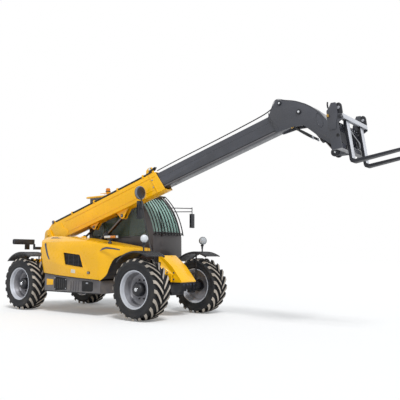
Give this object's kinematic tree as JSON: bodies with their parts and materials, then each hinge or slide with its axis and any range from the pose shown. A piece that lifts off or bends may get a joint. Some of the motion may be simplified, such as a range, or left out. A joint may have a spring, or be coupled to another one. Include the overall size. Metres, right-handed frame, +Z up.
{
  "type": "telehandler",
  "caption": "Compact telehandler with a two-stage boom, pallet forks, side cab, engine pod and four steered wheels.",
  "frame": {"origin": "centre of the bounding box seen from above, on the ground under the tyres", "axes": "+X forward along the boom, +Y to the machine's left, +Z up"},
  "size_m": [8.2559, 2.155, 3.4276],
  "materials": {
    "yellow_paint": "gloss",
    "boom_grey": "satin",
    "skirt_grey": "satin",
    "cab_grey": "satin",
    "black_plastic": "matt",
    "cast_black": "matt",
    "silver_paint": "satin",
    "tyre": "matt",
    "chrome": "polished",
    "tinted_glass": "gloss",
    "amber_lens": "gloss",
    "seat_cover": "matt"
  },
  "bodies": {
    "chassis": {"chassis_frame": "yellow_paint", "front_axle": "cast_black", "rear_axle": "cast_black", "engine_block": "cast_black", "side_skirt": "skirt_grey", "fuel_tank": "black_plastic", "rear_lamp_bar": "black_plastic", "cab_shell": "cab_grey", "cab_roof": "yellow_paint", "beacon": "amber_lens", "windscreen": "tinted_glass", "cab_side_glass": "tinted_glass", "cab_rear_glass": "tinted_glass", "windscreen_guard": "black_plastic", "seat": "seat_cover", "control_console": "black_plastic", "right_mirrors": "black_plastic", "left_mirror": "black_plastic"},
    "outer_boom": {"outer_boom": "yellow_paint"},
    "inner_boom": {"inner_boom": "boom_grey", "boom_head": "boom_grey"},
    "carriage": {"fork_carriage": "boom_grey", "pallet_forks": "cast_black"},
    "lift_rod": {"lift_cylinder_rod": "chrome"},
    "lift_barrel": {"lift_cylinder_barrel": "black_plastic"},
    "levelling_rod": {"levelling_cylinder_rod": "chrome"},
    "levelling_barrel": {"levelling_cylinder_barrel": "black_plastic"},
    "tilt_barrel": {"tilt_cylinder_barrel": "black_plastic"},
    "tilt_rod": {"tilt_cylinder_rod": "chrome"},
    "cab_door": {"cab_door": "cab_grey", "door_glass": "tinted_glass"},
    "bonnet": {"engine_bonnet": "yellow_paint"},
    "front_right_knuckle": {"front_right_knuckle": "cast_black", "front_right_mudguard": "black_plastic"},
    "front_right_wheel": {"front_right_rim": "silver_paint", "front_right_tyre": "tyre"},
    "front_left_knuckle": {"front_left_knuckle": "cast_black", "front_left_mudguard": "black_plastic"},
    "front_left_wheel": {"front_left_rim": "silver_paint", "front_left_tyre": "tyre"},
    "rear_right_knuckle": {"rear_right_knuckle": "cast_black", "rear_right_mudguard": "black_plastic"},
    "rear_right_wheel": {"rear_right_rim": "silver_paint", "rear_right_tyre": "tyre"},
    "rear_left_knuckle": {"rear_left_knuckle": "cast_black", "rear_left_mudguard": "black_plastic"},
    "rear_left_wheel": {"rear_left_rim": "silver_paint", "rear_left_tyre": "tyre"}
  },
  "joints": [
    {"name": "boom_lift", "type": "hinge", "parent": "chassis", "child": "outer_boom", "pos_m": [-3.76446, -0.1715, 1.49], "axis": [0, -1, 0], "range_deg": [-20, 44]},
    {"name": "boom_extend", "type": "slide", "parent": "outer_boom", "child": "inner_boom", "axis": [0.9613, 0, 0.2756], "range_m": [-2.1, 0.15]},
    {"name": "carriage_tilt", "type": "hinge", "parent": "inner_boom", "child": "carriage", "pos_m": [2.71041, -0.1715, 2.67981], "axis": [0, 1, 0], "range_deg": [-25, 60]},
    {"name": "lift_barrel_swing", "type": "hinge", "parent": "chassis", "child": "lift_barrel", "pos_m": [-3.27946, -0.1715, 0.52], "axis": [0, -1, 0], "range_deg": [-17.2, 37.23]},
    {"name": "lift_rod_slide", "type": "slide", "parent": "lift_barrel", "child": "lift_rod", "axis": [0.7913, 0, 0.6114], "range_m": [-0.3509, 0.7659]},
    {"name": "levelling_barrel_swing", "type": "hinge", "parent": "chassis", "child": "levelling_barrel", "pos_m": [-3.56646, -0.1715, 0.924], "axis": [0, -1, 0], "range_deg": [-17.6, 38.12]},
    {"name": "levelling_rod_slide", "type": "slide", "parent": "levelling_barrel", "child": "levelling_rod", "axis": [0.8594, 0, 0.5112], "range_m": [-0.1915, 0.4154]},
    {"name": "tilt_barrel_swing", "type": "hinge", "parent": "inner_boom", "child": "tilt_barrel", "pos_m": [2.14196, -0.1715, 3.17115], "axis": [0, 1, 0], "range_deg": [-2.6, 5.53]},
    {"name": "tilt_rod_slide", "type": "slide", "parent": "tilt_barrel", "child": "tilt_rod", "axis": [0.6266, 0, -0.7793], "range_m": [-0.164, 0.0712]},
    {"name": "front_right_steer", "type": "hinge", "parent": "chassis", "child": "front_right_knuckle", "pos_m": [-0.45946, -0.6565, 0.50257], "axis": [0, 0, 1], "range_deg": [-28, 28]},
    {"name": "front_right_wheel_spin", "type": "hinge", "parent": "front_right_knuckle", "child": "front_right_wheel", "pos_m": [-0.45946, -0.8865, 0.50257], "axis": [0, 1, 0], "continuous": true},
    {"name": "front_left_steer", "type": "hinge", "parent": "chassis", "child": "front_left_knuckle", "pos_m": [-0.45946, 0.4635, 0.50257], "axis": [0, 0, 1], "range_deg": [-28, 28]},
    {"name": "front_left_wheel_spin", "type": "hinge", "parent": "front_left_knuckle", "child": "front_left_wheel", "pos_m": [-0.45946, 0.6935, 0.50257], "axis": [0, 1, 0], "continuous": true},
    {"name": "rear_right_steer", "type": "hinge", "parent": "chassis", "child": "rear_right_knuckle", "pos_m": [-3.61946, -0.6565, 0.50257], "axis": [0, 0, 1], "range_deg": [-28, 28]},
    {"name": "rear_right_wheel_spin", "type": "hinge", "parent": "rear_right_knuckle", "child": "rear_right_wheel", "pos_m": [-3.61946, -0.8865, 0.50257], "axis": [0, 1, 0], "continuous": true},
    {"name": "rear_left_steer", "type": "hinge", "parent": "chassis", "child": "rear_left_knuckle", "pos_m": [-3.61946, 0.4635, 0.50257], "axis": [0, 0, 1], "range_deg": [-28, 28]},
    {"name": "rear_left_wheel_spin", "type": "hinge", "parent": "rear_left_knuckle", "child": "rear_left_wheel", "pos_m": [-3.61946, 0.6935, 0.50257], "axis": [0, 1, 0], "continuous": true},
    {"name": "cab_door_hinge", "type": "hinge", "parent": "chassis", "child": "cab_door", "pos_m": [-2.52546, 0.8175, 1.3], "axis": [0, 0, 1], "range_deg": [0, 100]},
    {"name": "bonnet_hinge", "type": "hinge", "parent": "chassis", "child": "bonnet", "pos_m": [-2.67946, -0.3205, 1.424], "axis": [-1, 0, 0], "range_deg": [0, 60]}
  ],
  "couplings": [
    {"joint": "lift_barrel_swing", "follows": "boom_lift", "ratio": 0.8348},
    {"joint": "lift_rod_slide", "follows": "boom_lift", "m_per_rad": 0.9908},
    {"joint": "levelling_barrel_swing", "follows": "boom_lift", "ratio": 0.855},
    {"joint": "levelling_rod_slide", "follows": "boom_lift", "m_per_rad": 0.5344},
    {"joint": "tilt_barrel_swing", "follows": "carriage_tilt", "ratio": 0.0838},
    {"joint": "tilt_rod_slide", "follows": "carriage_tilt", "m_per_rad": -0.1518},
    {"joint": "front_left_steer", "follows": "front_right_steer", "ratio": 1},
    {"joint": "rear_left_steer", "follows": "rear_right_steer", "ratio": 1}
  ]
}
